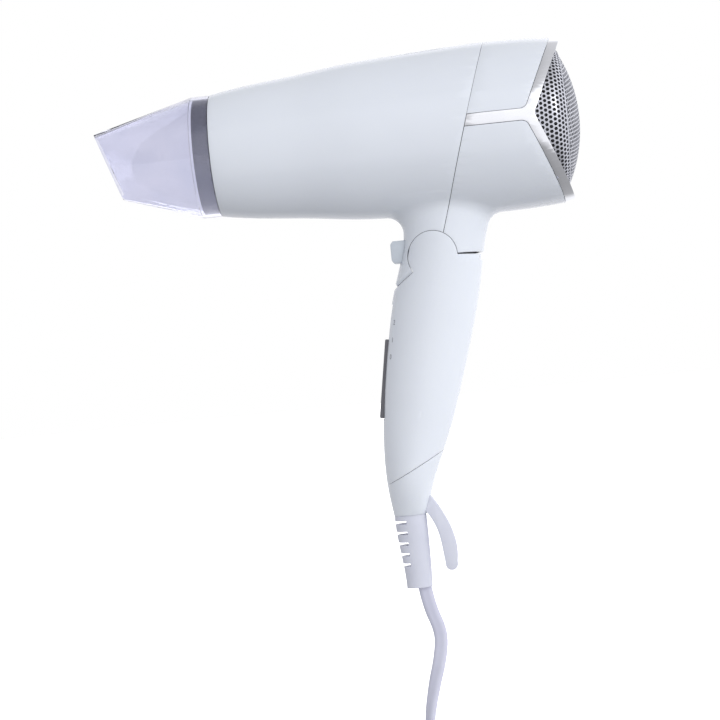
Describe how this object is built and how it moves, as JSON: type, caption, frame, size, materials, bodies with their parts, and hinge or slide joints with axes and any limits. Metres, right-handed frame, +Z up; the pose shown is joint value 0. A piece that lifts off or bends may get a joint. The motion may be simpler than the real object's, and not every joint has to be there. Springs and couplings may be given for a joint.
{
  "type": "hair dryer",
  "caption": "Folding hair dryer with clear air nozzle, domed inlet grille with Y-shaped polished trim, slide switch, cool-air button, cord guard with hanging hook and two-pin plug.",
  "frame": {"origin": "middle of the hand grip on the handle", "axes": "+X along the barrel from the nozzle to the air inlet, +Y across to the right, +Z up with the handle hanging down"},
  "size_m": [0.2421, 0.0848, 0.5232],
  "materials": {
    "white_shell": "polished",
    "trim_chrome": "polished",
    "grille_silver": "satin",
    "grey_plastic": "satin",
    "dark_plastic": "satin",
    "light_grey": "satin",
    "insulating_board": "matte",
    "steel": "brushed",
    "board_green": "satin",
    "copper_wire": "satin",
    "clear_plastic": "clear",
    "soft_white": "satin",
    "cord_white": "satin",
    "brass": "polished"
  },
  "bodies": {
    "handle": {"handle_left": "white_shell", "handle_right": "white_shell", "handle_screws": "steel", "end_cap": "white_shell", "hinge_pins": "steel", "hinge_washers": "steel", "switch_bezel": "dark_plastic", "switch_body": "dark_plastic", "switch_contacts": "brass", "handle_wires": "copper_wire", "mains_leads": "copper_wire", "cord_clamp": "dark_plastic", "clamp_screws": "steel", "cord_guard": "soft_white", "hanging_hook": "soft_white", "power_cord": "cord_white", "cord_coil": "cord_white", "coil_tie": "soft_white", "cord_tail": "cord_white", "plug_body": "soft_white", "plug_pins": "brass"},
    "head": {"front_housing": "white_shell", "rear_upper_housing": "white_shell", "rear_lower_housing": "white_shell", "trim_frame": "trim_chrome", "inlet_grille": "grille_silver", "outlet_spigot": "grey_plastic", "outlet_grille": "grey_plastic", "heat_shield": "insulating_board", "heater_boards": "insulating_board", "heating_coils": "steel", "thermal_cutout": "brass", "thermal_fuse": "steel", "motor_duct": "dark_plastic", "fan_motor": "steel", "rectifier_board": "board_green", "hinge_knuckle": "dark_plastic", "head_wires": "copper_wire", "cool_switch": "dark_plastic", "cool_spring": "steel"},
    "fan": {"motor_shaft": "steel", "fan_impeller": "dark_plastic"},
    "button": {"cool_button": "light_grey"},
    "collar": {"nozzle_collar": "grey_plastic"},
    "nozzle": {"nozzle": "clear_plastic"},
    "slider": {"power_slider": "grey_plastic"}
  },
  "joints": [
    {"name": "head_fold", "type": "hinge", "parent": "handle", "child": "head", "pos_m": [0.0107, 0, 0.0586], "axis": [0, -1, 0], "range_deg": [0, 75]},
    {"name": "fan_spin", "type": "hinge", "parent": "head", "child": "fan", "pos_m": [0.04, 0, 0.12], "axis": [1, 0, 0], "continuous": true},
    {"name": "cool_press", "type": "slide", "parent": "head", "child": "button", "axis": [1, 0, 0], "range_m": [0, 0.0022], "stiffness_N_per_m": 900, "springref_m": -0.001, "deforming": ["cool_spring"]},
    {"name": "nozzle_pull", "type": "slide", "parent": "head", "child": "collar", "axis": [-1, 0, 0], "range_m": [0, 0.03]},
    {"name": "nozzle_turn", "type": "hinge", "parent": "collar", "child": "nozzle", "pos_m": [-0.112, 0, 0.12], "axis": [-1, 0, 0], "continuous": true},
    {"name": "power_slide", "type": "slide", "parent": "handle", "child": "slider", "axis": [0.1652, 0, 0.9863], "range_m": [0, 0.017]}
  ]
}
